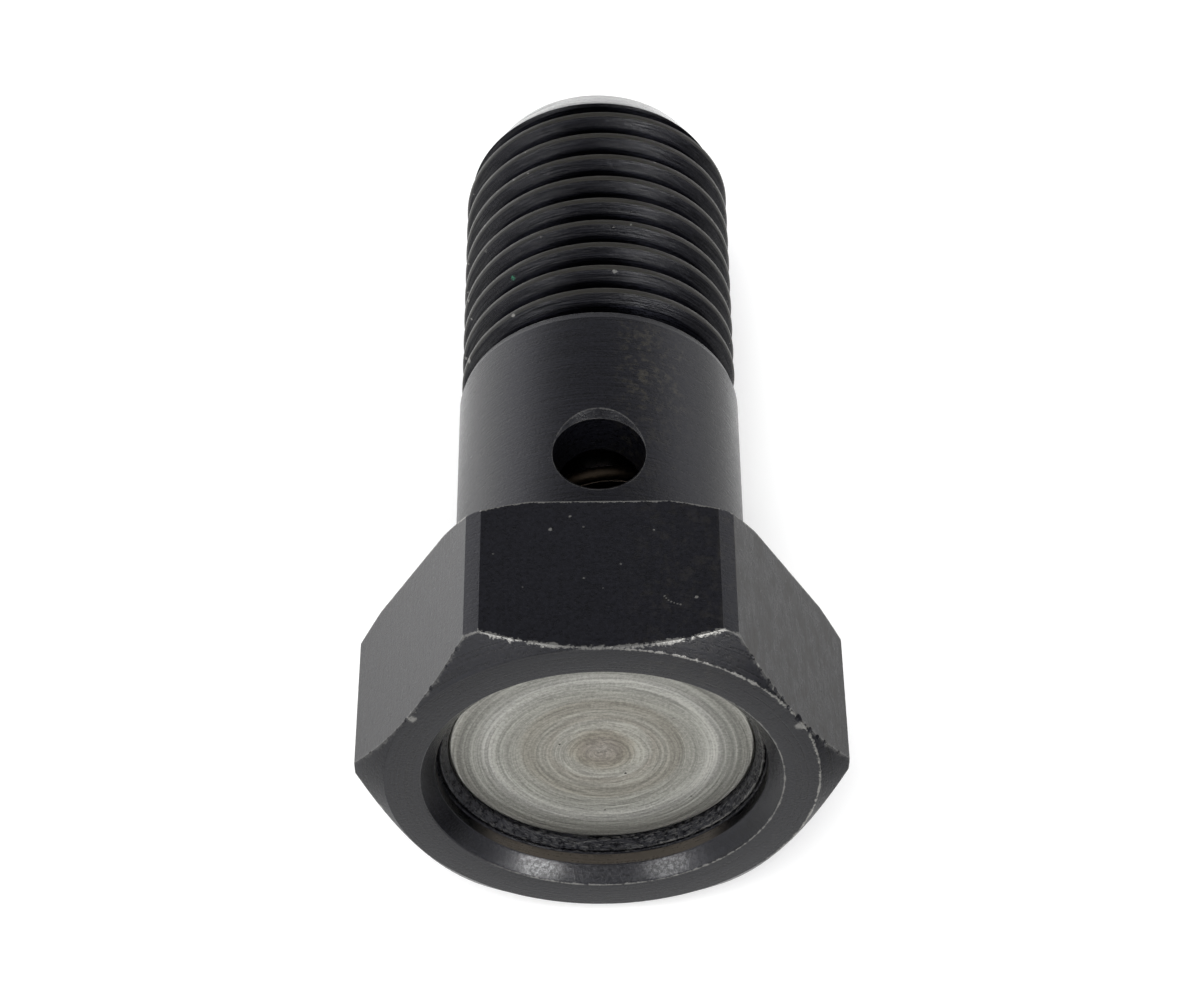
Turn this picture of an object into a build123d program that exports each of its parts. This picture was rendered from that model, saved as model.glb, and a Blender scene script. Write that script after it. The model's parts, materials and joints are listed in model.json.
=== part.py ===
from build123d import *

import os
from math import atan2, cos, radians, sin, sqrt, tan

# Hollow hex bolt for a piston cooling jet, with a ball check valve inside.
# Lengths are in millimetres. Depths run along the bolt from the face of its head to the
# thread end. The bolt lies on a surface at Z = 0, on a flat of its head and on its thread end.

# Hex head
hex_across_flats = 15.875
hex_corner_diameter = 17.98
head_height = 6.63
face_circle_diameter = 15.79
face_chamfer_angle = 35.5
bearing_circle_diameter = 16.66
bearing_chamfer_angle = 30.0

# Shank and thread
shank_diameter = 11.11
shank_length = 11.8
under_head_radius = 0.4
shoulder_diameter = 10.9
shoulder_taper = 0.35
relief_diameter = 9.8
relief_width = 0.5
relief_ramp_angle = 65.0
thread_diameter = 10.98
length_under_head = 25.4
thread_end_diameter = 9.0
thread_end_chamfer = 1.85

# Cross hole that feeds the jet
cross_hole_diameter = 3.5
cross_hole_below_head = 4.65
cross_hole_edge_break = 0.28

# Recess in the head, and the lip that is rolled in over the plug
recess_mouth_diameter = 13.2
recess_mouth_depth = 0.58
recess_diameter = 12.08
recess_wall_depth = 1.0
groove_width = 0.06
groove_depth = 0.13
lip_crest_width = 0.12
lip_height = 0.07
lip_nose_gap = 0.1
lip_nose_rise = 0.11

# Plug
plug_diameter = 11.6
plug_bevel = 0.28
plug_thickness = 2.2
plug_face_depth = 1.51
plug_clearance = 0.02
plug_nub_diameter = 0.5
plug_nub_height = 0.05

# Valve bore, seat and inlet
valve_bore_diameter = 7.1
throat_diameter = 4.0
inlet_diameter = 5.0
inlet_length = 7.5
inlet_drill_angle = 118.0
inlet_edge_break = 0.4
seat_angle = 90.0
seat_depth = 20.8

# Ball and spring
ball_diameter = 6.35
seat_clearance = 0.04
wire_diameter = 0.6
coil_mean_diameter = 5.5
closed_coil_gap = 0.08
closed_turns = 1.0
active_turns = 4.0
ground_share = 0.25
spring_clearance = 0.05
coil_start_angle = 300.0

# Radii and depths that follow from the sizes above
flat_r = hex_across_flats / 2
corner_r = hex_corner_diameter / 2
shank_r = shank_diameter / 2
shoulder_r = shoulder_diameter / 2
relief_r = relief_diameter / 2
thread_r = thread_diameter / 2
bore_r = valve_bore_diameter / 2
throat_r = throat_diameter / 2
inlet_r = inlet_diameter / 2
ball_r = ball_diameter / 2
wire_r = wire_diameter / 2
coil_r = coil_mean_diameter / 2
face_circle_r = face_circle_diameter / 2
bearing_circle_r = bearing_circle_diameter / 2
bolt_length = head_height + length_under_head
shoulder_depth = head_height + shank_length
relief_end_depth = shoulder_depth + relief_width
thread_start_depth = relief_end_depth + (thread_r - relief_r) / tan(radians(relief_ramp_angle))
cross_hole_depth = head_height + cross_hole_below_head
face_chamfer_height = (corner_r - face_circle_r) * tan(radians(face_chamfer_angle))
bearing_chamfer_height = (corner_r - bearing_circle_r) * tan(radians(bearing_chamfer_angle))
end_chamfer_depth = bolt_length - thread_end_chamfer
inlet_floor_depth = bolt_length - inlet_length
inlet_tip_depth = inlet_floor_depth - (inlet_r - throat_r) / tan(radians(inlet_drill_angle / 2))
plug_seat_depth = plug_face_depth + plug_thickness

# Lying pose: the bearing edge of the lowest flat and the start of the end chamfer touch Z = 0
flat_shortfall = max(0, flat_r - bearing_circle_r) * tan(radians(bearing_chamfer_angle))
head_contact_depth = head_height - flat_shortfall
tilt = atan2(flat_r - thread_r, end_chamfer_depth - head_contact_depth)
head_centre_z = head_contact_depth * sin(tilt) + flat_r * cos(tilt)
near_end_y = -face_circle_r * sin(tilt)
far_end_y = bolt_length * cos(tilt) + thread_end_diameter / 2 * sin(tilt)
head_centre = Vector(0, -(near_end_y + far_end_y) / 2, head_centre_z)

along = Vector(0, cos(tilt), -sin(tilt))
upward = Vector(0, sin(tilt), cos(tilt))
bolt_plane = Plane(origin=head_centre, x_dir=(1, 0, 0), z_dir=along)
section_plane = Plane(origin=head_centre, x_dir=(1, 0, 0), z_dir=upward)
cross_plane = Plane(origin=head_centre + along * cross_hole_depth, x_dir=(1, 0, 0), z_dir=upward)
bolt_axis = Axis(head_centre, along)

# Seat of the ball: the cone touches the ball on a circle, less the clearance
half_seat_angle = radians(seat_angle / 2)
seat_mouth_depth = seat_depth - (bore_r - throat_r) / tan(half_seat_angle)
seat_apex_depth = seat_depth + throat_r / tan(half_seat_angle)
ball_depth = seat_apex_depth - (ball_r + seat_clearance) / sin(half_seat_angle)

# Spring: ground flat at both ends, one end on the plug and the other on the ball
ground_offset = wire_r - wire_diameter * ground_share
ground_inner_r = coil_r - sqrt(wire_r**2 - ground_offset**2)
ball_reach = sqrt((ball_r + spring_clearance) ** 2 - ground_inner_r**2)
spring_start_depth = plug_seat_depth
spring_end_depth = ball_depth - ball_reach
closed_pitch = wire_diameter + closed_coil_gap
closed_length = ground_offset + closed_pitch * closed_turns
active_length = spring_end_depth - spring_start_depth - 2 * closed_length
active_pitch = active_length / active_turns


def drilled_plane(side):
    """Plane on the shank over the cross hole, facing out on the upper (1) or lower (-1) side."""
    centre = cross_plane.origin + upward * (side * shank_r)
    return Plane(origin=centre, x_dir=(1, 0, 0), z_dir=upward * side)


# Bolt body: turned from hexagon bar, drilled from both ends and across
with BuildPart() as bolt_body:
    with BuildSketch(section_plane):
        Polygon(
            (0, 0),
            (face_circle_r, 0),
            (corner_r, face_chamfer_height),
            (corner_r, head_height - bearing_chamfer_height),
            (bearing_circle_r, head_height),
            (0, head_height),
            align=None,
        )
    revolve(axis=bolt_axis)
    with BuildSketch(bolt_plane):
        RegularPolygon(flat_r, 6, major_radius=False)
    extrude(amount=head_height, mode=Mode.INTERSECT)

    with BuildSketch(section_plane):
        with BuildLine():
            root = (shank_r + under_head_radius, head_height)
            shank_start = (shank_r, head_height + under_head_radius)
            Line((0, head_height), root)
            RadiusArc(root, shank_start, under_head_radius)
            Polyline(
                shank_start,
                (shank_r, shoulder_depth - shoulder_taper),
                (shoulder_r, shoulder_depth),
                (relief_r, shoulder_depth),
                (relief_r, relief_end_depth),
                (thread_r, thread_start_depth),
                (thread_r, end_chamfer_depth),
                (thread_end_diameter / 2, bolt_length),
                (0, bolt_length),
                (0, head_height),
            )
        make_face()
    revolve(axis=bolt_axis)

    # Recess, rolled lip, plug seat, valve bore, ball seat, throat and inlet, in one turned profile
    with BuildSketch(section_plane):
        recess_r = recess_diameter / 2
        groove_r = recess_r - groove_width
        crest_r = groove_r - lip_crest_width
        plug_seat_r = plug_diameter / 2 + plug_clearance
        nose_r = plug_diameter / 2 - plug_bevel + lip_nose_gap
        nose_depth = plug_face_depth - lip_nose_rise
        under_nose_depth = plug_face_depth + lip_nose_gap - 2 * plug_clearance
        Polygon(
            (0, 0),
            (recess_mouth_diameter / 2, 0),
            (recess_r, recess_mouth_depth),
            (recess_r, recess_wall_depth),
            (groove_r, recess_wall_depth + groove_depth),
            (crest_r, recess_wall_depth + groove_depth - lip_height),
            (nose_r, nose_depth),
            (nose_r, under_nose_depth),
            (plug_seat_r, under_nose_depth + plug_seat_r - nose_r),
            (plug_seat_r, plug_seat_depth),
            (bore_r, plug_seat_depth),
            (bore_r, seat_mouth_depth),
            (throat_r, seat_depth),
            (throat_r, inlet_tip_depth),
            (inlet_r, inlet_floor_depth),
            (inlet_r, bolt_length - inlet_edge_break),
            (inlet_r + inlet_edge_break, bolt_length),
            (0, bolt_length),
            align=None,
        )
    revolve(axis=bolt_axis, mode=Mode.SUBTRACT)

    # Cross hole, drilled right through, with its edges broken at 45 degrees
    with BuildSketch(cross_plane):
        Circle(cross_hole_diameter / 2)
    extrude(amount=shank_diameter, both=True, mode=Mode.SUBTRACT)
    for side in (1, -1):
        with Locations(drilled_plane(side)):
            Cone(
                bottom_radius=cross_hole_diameter / 2,
                top_radius=cross_hole_diameter / 2 + 2 * cross_hole_edge_break,
                height=2 * cross_hole_edge_break,
                mode=Mode.SUBTRACT,
            )

# Plug: disc with a bevel under the rolled lip and the turning nub left at its centre
with BuildPart() as head_plug:
    with BuildSketch(section_plane):
        plug_r = plug_diameter / 2
        nub_r = plug_nub_diameter / 2
        Polygon(
            (0, plug_face_depth - plug_nub_height),
            (nub_r, plug_face_depth),
            (plug_r - plug_bevel, plug_face_depth),
            (plug_r, plug_face_depth + plug_bevel),
            (plug_r, plug_seat_depth),
            (0, plug_seat_depth),
            align=None,
        )
    revolve(axis=bolt_axis)

# Valve ball, just off its seat
with BuildPart() as valve_ball:
    with BuildSketch(section_plane):
        with BuildLine():
            front = (0, ball_depth - ball_r)
            widest = (ball_r, ball_depth)
            back = (0, ball_depth + ball_r)
            ThreePointArc(front, widest, back)
            Line(back, front)
        make_face()
    revolve(axis=bolt_axis)

# Valve spring: a closed coil, the active coils and a closed coil, ground flat at both ends
with BuildPart() as valve_spring:
    closed_run = (closed_pitch, closed_turns)
    coil_runs = [closed_run, (active_pitch, active_turns), closed_run]
    run_depth = spring_start_depth + ground_offset
    run_angle = coil_start_angle
    with BuildLine() as wire_line:
        for pitch, turns in coil_runs:
            run_start = bolt_plane.x_dir.rotate(bolt_axis, run_angle)
            run_plane = Plane(bolt_plane.offset(run_depth).origin, run_start, along)
            coil = Helix(pitch=pitch, height=pitch * turns, radius=coil_r, mode=Mode.PRIVATE)
            add(coil.moved(run_plane.location))
            run_depth += pitch * turns
            run_angle += 360 * turns
    with BuildSketch(Plane(origin=wire_line.line @ 0, z_dir=wire_line.line % 0)):
        Circle(wire_r)
    sweep(path=wire_line.line, is_frenet=True)
    split(bisect_by=bolt_plane.offset(spring_start_depth), keep=Keep.TOP)
    split(bisect_by=bolt_plane.offset(spring_end_depth), keep=Keep.BOTTOM)

bolt_body.part.label = "bolt_body"
head_plug.part.label = "head_plug"
valve_spring.part.label = "valve_spring"
valve_ball.part.label = "valve_ball"

os.makedirs("parts", exist_ok=True)
export_step(bolt_body.part, "parts/bolt_body.step")
export_step(head_plug.part, "parts/head_plug.step")
export_step(valve_spring.part, "parts/valve_spring.step")
export_step(valve_ball.part, "parts/valve_ball.step")
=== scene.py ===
"""Visual model of a piston cooling jet bolt lying on a pale floor under soft studio light.

Lengths are in millimetres in the bolt's own frame until a piece is laid in the row frame:
X to the right, Y away from the upper side, Z the depth along the bolt from its head face.
"""

import json
import logging
from collections.abc import Callable, Iterator, Sequence
from contextlib import contextmanager
from dataclasses import dataclass, field
from enum import Enum
from functools import reduce
from math import atan2, cos, hypot, pi, radians, sin, tan, tau
from operator import or_
from typing import TypeAlias

import bmesh
import bpy
from bpy.types import Material, Node, NodeSocket, NodeTree, Object
from mathutils import Matrix, Vector

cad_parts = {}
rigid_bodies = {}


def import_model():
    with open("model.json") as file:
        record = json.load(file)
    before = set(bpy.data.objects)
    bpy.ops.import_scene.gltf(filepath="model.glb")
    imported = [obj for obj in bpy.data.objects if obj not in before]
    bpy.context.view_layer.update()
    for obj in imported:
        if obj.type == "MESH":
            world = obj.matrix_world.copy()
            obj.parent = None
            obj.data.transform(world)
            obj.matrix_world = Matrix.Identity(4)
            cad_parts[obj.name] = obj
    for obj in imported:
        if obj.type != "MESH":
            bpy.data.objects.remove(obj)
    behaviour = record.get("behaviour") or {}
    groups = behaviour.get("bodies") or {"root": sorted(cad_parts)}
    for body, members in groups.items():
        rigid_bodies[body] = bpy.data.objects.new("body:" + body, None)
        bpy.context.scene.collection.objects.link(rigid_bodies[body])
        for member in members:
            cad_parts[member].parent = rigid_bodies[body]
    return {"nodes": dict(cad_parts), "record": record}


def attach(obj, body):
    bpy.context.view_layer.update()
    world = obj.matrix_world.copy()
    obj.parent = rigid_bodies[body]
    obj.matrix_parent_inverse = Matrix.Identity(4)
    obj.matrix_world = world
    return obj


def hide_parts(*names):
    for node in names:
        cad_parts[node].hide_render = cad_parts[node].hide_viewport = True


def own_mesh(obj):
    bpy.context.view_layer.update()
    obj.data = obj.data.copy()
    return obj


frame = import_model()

log = logging.getLogger("cooling_jet_bolt")

MILLIMETRE = 0.001
MERGE = 0.0005

# What a shader socket can be fed with
Source: TypeAlias = "Value | NodeSocket | float | Sequence[float]"


class Slot(Enum):
    """Material slots of the record, by name."""

    BLACK_STEEL = "black_steel"
    BARE_STEEL = "bare_steel"
    SPRING_WIRE = "spring_wire"
    BALL_STEEL = "ball_steel"


def only(piece: Object) -> None:
    """Selects one object and makes it the active one.

    Args:
        piece: The object.
    """
    bpy.ops.object.select_all(action="DESELECT")
    piece.select_set(True)
    bpy.context.view_layer.objects.active = piece


def set_down(piece: Object, matrix: Matrix) -> None:
    """Puts a piece in a place and leaves that place in its mesh.

    Args:
        piece: The piece.
        matrix: Matrix of the place.
    """
    only(piece)
    piece.matrix_world = matrix
    bpy.ops.object.transform_apply(location=True, rotation=True, scale=True)


@contextmanager
def editing(piece: Object) -> Iterator[None]:
    """Keeps a piece in edit mode, at first with all of it selected.

    Args:
        piece: The piece.

    Yields:
        Nothing, while the piece is in edit mode.
    """
    only(piece)
    bpy.ops.object.mode_set(mode="EDIT")
    bpy.ops.mesh.select_all(action="SELECT")
    yield
    bpy.ops.object.mode_set(mode="OBJECT")


def apply_modifier(piece: Object, kind: str, **settings: object) -> None:
    """Adds a modifier to a piece and applies it.

    Args:
        piece: The piece.
        kind: Kind of the modifier.
        **settings: Settings of the modifier.
    """
    only(piece)
    modifier = piece.modifiers.new(kind.lower(), kind)
    for name, value in settings.items():
        setattr(modifier, name, value)
    bpy.ops.object.modifier_apply(modifier=modifier.name)


def remove(piece: Object) -> None:
    """Takes a tool piece out of the scene, with its mesh.

    Args:
        piece: The tool piece.
    """
    mesh = piece.data
    bpy.data.objects.remove(piece)
    bpy.data.meshes.remove(mesh)


@dataclass(frozen=True)
class Lay:
    """Where the bolt lies in the row frame.

    Attributes:
        head: Centre of the head face, in metres.
        along: Direction from the head to the thread end.
        upward: Direction square to the bolt that points up.
    """

    head: Vector
    along: Vector
    upward: Vector

    @classmethod
    def from_frame(cls) -> "Lay":
        """Reads the lay from the record's mounts and the bolt body of the frame.

        Returns:
            The lay of the bolt.
        """
        mounts = {mount["name"]: mount for mount in frame["record"]["mounts"]}
        along = Vector(mounts["thread"]["axis"]).normalized()
        upward = Vector(mounts["oil_outlet_upper"]["axis"]).normalized()
        on_axis = Vector(mounts["thread"]["pos_m"])
        body = frame["nodes"]["bolt_body"].data
        least = min((vertex.co - on_axis).dot(along) for vertex in body.vertices)
        return cls(on_axis + along * least, along, upward)

    def matrix(self) -> Matrix:
        """Works out where the bolt's frame in millimetres lies in the row frame.

        Returns:
            The matrix from the first to the second.
        """
        right = self.along.cross(self.upward)
        turned_to = Matrix((right, -self.upward, self.along)).transposed().to_4x4()
        return Matrix.Translation(self.head) @ turned_to @ Matrix.Scale(MILLIMETRE, 4)


@dataclass(frozen=True)
class Corner:
    """Point of a turned profile.

    Attributes:
        radius: Distance from the axis.
        depth: Distance from the head face.
        soften: Radius of the rounding at the point, 0 for a sharp corner.
        rings: Rings added on the way to the next point.
    """

    radius: float
    depth: float
    soften: float = 0.0
    rings: int = 0

    def place(self) -> Vector:
        """Returns the point in the plane of the profile."""
        return Vector((self.radius, self.depth))


def softened(corners: Sequence[Corner], steps: int = 3) -> list[tuple[float, float]]:
    """Rounds the corners of a closed profile.

    Args:
        corners: Points of the profile in order.
        steps: Runs that each rounding is divided into.

    Returns:
        Radius and depth of each point.
    """
    points = []
    for number, corner in enumerate(corners):
        here = corner.place()
        back = corners[number - 1].place() - here
        onward = corners[(number + 1) % len(corners)].place() - here
        if corner.soften:
            reach = corner.soften / tan(back.angle(onward) / 2)
            start = here + back.normalized() * reach
            end = here + onward.normalized() * reach
            for step in range(steps + 1):
                share = step / steps
                points.append(tuple(start.lerp(here, share).lerp(here.lerp(end, share), share)))
        else:
            points.append(tuple(here))
        for ring in range(corner.rings):
            points.append(tuple(here + onward * ((ring + 1) / (corner.rings + 1))))
    return points


def drawn_loop(name: str, points: Sequence[tuple[float, float]]) -> Object:
    """Draws a closed line in the plane of the axis, one edge after another.

    Args:
        name: Name of the new piece.
        points: Radius and depth of each point.

    Returns:
        The piece, in edit mode with all of it selected.
    """
    bpy.ops.object.select_all(action="DESELECT")
    bpy.ops.mesh.primitive_plane_add(size=1.0, location=(0, 0, 0))
    piece = bpy.context.object
    piece.name = name
    bpy.ops.object.mode_set(mode="EDIT")
    bpy.ops.mesh.select_all(action="SELECT")
    bpy.ops.mesh.merge(type="CENTER")
    radius, depth = points[0]
    bpy.ops.transform.translate(value=(radius, 0, depth))
    for next_radius, next_depth in (*points[1:], points[0]):
        step = (next_radius - radius, 0, next_depth - depth)
        bpy.ops.mesh.extrude_region_move(TRANSFORM_OT_translate={"value": step})
        radius, depth = next_radius, next_depth
    bpy.ops.mesh.select_all(action="SELECT")
    bpy.ops.mesh.remove_doubles(threshold=MERGE)
    return piece


def turned(name: str, points: Sequence[tuple[float, float]], steps: int) -> Object:
    """Turns a closed profile about the axis into a solid.

    Args:
        name: Name of the new piece.
        points: Radius and depth of each point.
        steps: Steps in the full turn.

    Returns:
        The solid, in object mode.
    """
    piece = drawn_loop(name, points)
    bpy.ops.mesh.spin(steps=steps, angle=tau, center=(0, 0, 0), axis=(0, 0, 1))
    bpy.ops.mesh.select_all(action="SELECT")
    bpy.ops.mesh.remove_doubles(threshold=MERGE)
    bpy.ops.mesh.delete_loose()
    bpy.ops.mesh.select_all(action="SELECT")
    bpy.ops.mesh.normals_make_consistent(inside=False)
    bpy.ops.object.mode_set(mode="OBJECT")
    return piece


def select_where(piece: Object, chosen: Callable[[Vector], bool]) -> int:
    """Selects the vertices of a piece that are chosen by place.

    Args:
        piece: The piece, in edit mode.
        chosen: Says for a place if a vertex there is wanted.

    Returns:
        How many vertices are selected.
    """
    bpy.ops.mesh.select_mode(type="VERT")
    bpy.ops.mesh.select_all(action="DESELECT")
    mesh = bmesh.from_edit_mesh(piece.data)
    wanted = [vertex for vertex in mesh.verts if chosen(vertex.co)]
    for vertex in wanted:
        vertex.select_set(True)
    mesh.select_flush(True)
    bmesh.update_edit_mesh(piece.data)
    return len(wanted)


def finish_mesh(piece: Object, angle: float) -> None:
    """Merges doubles, turns the faces outwards and smooths the shading.

    Args:
        piece: The piece.
        angle: Sharpest angle that is shaded smooth, in degrees.
    """
    with editing(piece):
        bpy.ops.mesh.remove_doubles(threshold=MERGE)
        bpy.ops.mesh.normals_make_consistent(inside=False)
    bpy.ops.object.shade_smooth_by_angle(angle=radians(angle))


@dataclass(frozen=True)
class HexHead:
    """Sizes of the hexagon head: radii, height and chamfer angles in degrees."""

    flat: float = 7.9375
    corner: float = 8.99
    height: float = 6.63
    face_circle: float = 7.895
    face_angle: float = 35.5
    bearing_circle: float = 8.33
    bearing_angle: float = 30.0

    def face_slope(self) -> float:
        """Returns how far the face chamfer falls for each millimetre outwards."""
        return tan(radians(self.face_angle))

    def bearing_slope(self) -> float:
        """Returns how far the bearing chamfer rises for each millimetre outwards."""
        return tan(radians(self.bearing_angle))


@dataclass(frozen=True)
class Shank:
    """Sizes of the shank: radii, and depths from the head face."""

    radius: float = 5.555
    fillet: float = 0.4
    fillet_middle: float = 0.117
    taper_start: float = 18.08
    shoulder: float = 5.45
    end: float = 18.43
    relief: float = 4.9
    relief_end: float = 18.93


@dataclass(frozen=True)
class Thread:
    """Sizes of the right-hand thread: radii, and depths from the head face.

    The groove is rounded at its root and at the crest behind it. Each point of the first is a
    rise above the root and half a width, and each of the second a radius and half a width.
    """

    pitch: float = 1.27
    crest: float = 5.49
    root: float = 4.775
    root_flat: float = 0.25
    flank_angle: float = 30.0
    first_groove: float = 18.975
    cut_start: float = 18.45
    full_start: float = 19.205
    chamfer_start: float = 30.18
    end: float = 32.03
    end_circle: float = 4.5
    flank_top: float = 5.25
    root_round: tuple = ((0.0, 0.055), (0.015, 0.115), (0.065, 0.165))
    crest_round: tuple = ((5.40, 0.492), (5.455, 0.535), (5.483, 0.585), (5.52, 0.655))
    steps: int = 180
    turns: int = 13

    def half_width(self, radius: float) -> float:
        """Returns half the width of the groove at a radius."""
        return self.root_flat / 2 + (radius - self.root) * tan(radians(self.flank_angle))


@dataclass(frozen=True)
class Recess:
    """Sizes of the recess, the lip rolled in over the plug and the plug's seat, from the mouth in."""

    mouth: float = 6.6
    wall: float = 6.04
    wall_start: float = 0.58
    wall_end: float = 1.0
    groove: float = 5.98
    groove_depth: float = 1.13
    crest: float = 5.86
    crest_depth: float = 1.06
    nose: float = 5.62
    nose_front: float = 1.40
    nose_back: float = 1.57
    seat: float = 5.82
    seat_start: float = 1.77
    seat_end: float = 3.71


@dataclass(frozen=True)
class Bores:
    """Sizes of the valve bore, ball seat, throat and inlet: radii, and depths from the head face."""

    valve: float = 3.55
    seat_start: float = 19.25
    throat: float = 2.0
    seat_end: float = 20.8
    drill_tip: float = 24.23
    inlet: float = 2.5
    inlet_floor: float = 24.53
    inlet_break: float = 0.4


@dataclass(frozen=True)
class CrossHole:
    """Sizes of the hole across the shank."""

    radius: float = 1.75
    depth: float = 11.28
    edge_break: float = 0.28
    steps: int = 96


@dataclass(frozen=True)
class Chip:
    """Small bite out of the front edge of a flat of the head.

    Attributes:
        turn: Direction of the flat, in degrees from the top to the right.
        along: Place along the edge from its middle.
        size: Radius of the bite.
        out: How far its middle lies outside the edge.
    """

    turn: float
    along: float
    size: float
    out: float = 0.09

    def place(self, head: HexHead) -> Vector:
        """Works out where the bite is.

        Args:
            head: The head that is chipped.

        Returns:
            The middle of the bite.
        """
        turn = radians(self.turn)
        outward = Vector((sin(turn), -cos(turn), 0.0))
        onward = Vector((cos(turn), sin(turn), 0.0))
        edge = outward * head.flat + onward * self.along
        edge.z = (hypot(head.flat, self.along) - head.face_circle) * head.face_slope()
        return edge + (outward * 0.6 - Vector((0, 0, 0.8))) * self.out


EDGE_CHIPS = {
    60: (
        (-3.60, 0.13), (-3.24, 0.17), (-2.62, 0.13), (-2.02, 0.20), (-1.58, 0.19), (-1.02, 0.21),
        (-0.56, 0.18), (0.18, 0.27, 0.08), (0.72, 0.16), (1.10, 0.20), (1.64, 0.19), (2.28, 0.22),
        (2.80, 0.15), (3.38, 0.18),
    ),
    -60: (
        (3.78, 0.18), (3.42, 0.14), (2.94, 0.15), (1.88, 0.17), (1.40, 0.13), (0.64, 0.16),
        (-0.06, 0.15), (-0.80, 0.14), (-1.42, 0.15), (-2.92, 0.14),
    ),
    0: ((0.38, 0.15), (1.02, 0.12), (-2.45, 0.13), (3.30, 0.14)),
}


@dataclass
class BoltBody:
    """Body of the bolt: head, shank, thread, bores and the rolled lip, in one turned piece.

    Attributes:
        lay: Where the bolt lies.
        head: Sizes of the head.
        shank: Sizes of the shank.
        thread: Sizes of the thread.
        recess: Sizes of the recess.
        bores: Sizes of the bores.
        hole: Sizes of the cross hole.
        steps: Steps in a full turn.
        lip_roughness: How far a point of the rolled lip may move.
    """

    lay: Lay
    head: HexHead = field(default_factory=HexHead)
    shank: Shank = field(default_factory=Shank)
    thread: Thread = field(default_factory=Thread)
    recess: Recess = field(default_factory=Recess)
    bores: Bores = field(default_factory=Bores)
    hole: CrossHole = field(default_factory=CrossHole)
    steps: int = 360
    lip_roughness: float = 0.022

    def outside(self) -> list[Corner]:
        """Draws the outside, from the head face to the thread's end face.

        Returns:
            Corners of the profile.
        """
        head, shank, thread = self.head, self.shank, self.thread
        fall = (head.corner - head.face_circle) * head.face_slope()
        rise = (head.corner - head.bearing_circle) * head.bearing_slope()
        return [
            Corner(head.face_circle, 0, 0.05),
            Corner(head.corner, fall),
            Corner(head.corner, head.height - rise),
            Corner(head.bearing_circle, head.height, 0.05),
            Corner(shank.radius + shank.fillet, head.height),
            Corner(shank.radius + shank.fillet_middle, head.height + shank.fillet_middle),
            Corner(shank.radius, head.height + shank.fillet, rings=6),
            Corner(shank.radius, shank.taper_start, 0.05),
            Corner(shank.shoulder, shank.end, 0.03),
            Corner(shank.relief, shank.end),
            Corner(shank.relief, shank.relief_end),
            Corner(thread.crest, thread.full_start, rings=8),
            Corner(thread.crest, thread.chamfer_start),
            Corner(thread.end_circle, thread.end, 0.08),
        ]

    def inside(self) -> list[Corner]:
        """Draws the inside, from the inlet back to the mouth of the recess.

        Returns:
            Corners of the profile.
        """
        recess, bores, end = self.recess, self.bores, self.thread.end
        return [
            Corner(bores.inlet + bores.inlet_break, end, 0.05),
            Corner(bores.inlet, end - bores.inlet_break),
            Corner(bores.inlet, bores.inlet_floor),
            Corner(bores.throat, bores.drill_tip),
            Corner(bores.throat, bores.seat_end),
            Corner(bores.valve, bores.seat_start, rings=4),
            Corner(bores.valve, recess.seat_end),
            Corner(recess.seat, recess.seat_end),
            Corner(recess.seat, recess.seat_start),
            Corner(recess.nose, recess.nose_back),
            Corner(recess.nose, recess.nose_front, 0.05, 4),
            Corner(recess.crest, recess.crest_depth, 0.05, 1),
            Corner(recess.groove, recess.groove_depth),
            Corner(recess.wall, recess.wall_end),
            Corner(recess.wall, recess.wall_start, 0.06),
            Corner(recess.mouth, 0, 0.05),
        ]

    def hexagon(self) -> Object:
        """Makes the hexagon stock that the head is turned from, longer than the bolt.

        Returns:
            The hexagon.
        """
        spare = 2
        length = self.thread.end + 2 * spare
        bpy.ops.object.select_all(action="DESELECT")
        bpy.ops.mesh.primitive_cylinder_add(
            vertices=6,
            radius=self.head.flat / cos(pi / 6),
            depth=length,
            location=(0, 0, length / 2 - spare),
            rotation=(0, 0, pi / 2),
        )
        bpy.ops.object.transform_apply(location=True, rotation=True, scale=True)
        return bpy.context.object

    def groove(self) -> Object:
        """Makes the cutter of the thread groove, flat at the shoulder.

        Returns:
            The cutter.
        """
        thread = self.thread
        root = [(thread.root + rise, width) for rise, width in thread.root_round]
        flank = (thread.flank_top, thread.half_width(thread.flank_top))
        outer = thread.crest_round[-1][0]
        points = [(outer, -thread.half_width(outer))]
        points += [(radius, -width) for radius, width in reversed(root)]
        points += [*root, flank, *thread.crest_round]
        cutter = drawn_loop("groove", points)
        bpy.ops.transform.translate(value=(0, 0, thread.first_groove - 2 * thread.pitch))
        bpy.ops.object.mode_set(mode="OBJECT")
        apply_modifier(
            cutter,
            "SCREW",
            angle=tau * thread.turns,
            screw_offset=thread.pitch * thread.turns,
            iterations=1,
            steps=thread.steps * thread.turns,
            render_steps=thread.steps * thread.turns,
            axis="Z",
            use_normal_calculate=True,
        )
        set_down(cutter, Matrix.Rotation(-pi / 2, 4, "Z"))
        with editing(cutter):
            bpy.ops.mesh.fill_holes(sides=24)
            bpy.ops.mesh.select_all(action="SELECT")
            start = (0, 0, thread.cut_start)
            bpy.ops.mesh.bisect(plane_co=start, plane_no=(0, 0, 1), use_fill=True, clear_inner=True)
            bpy.ops.mesh.select_all(action="SELECT")
            bpy.ops.mesh.normals_make_consistent(inside=False)
        return cutter

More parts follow.
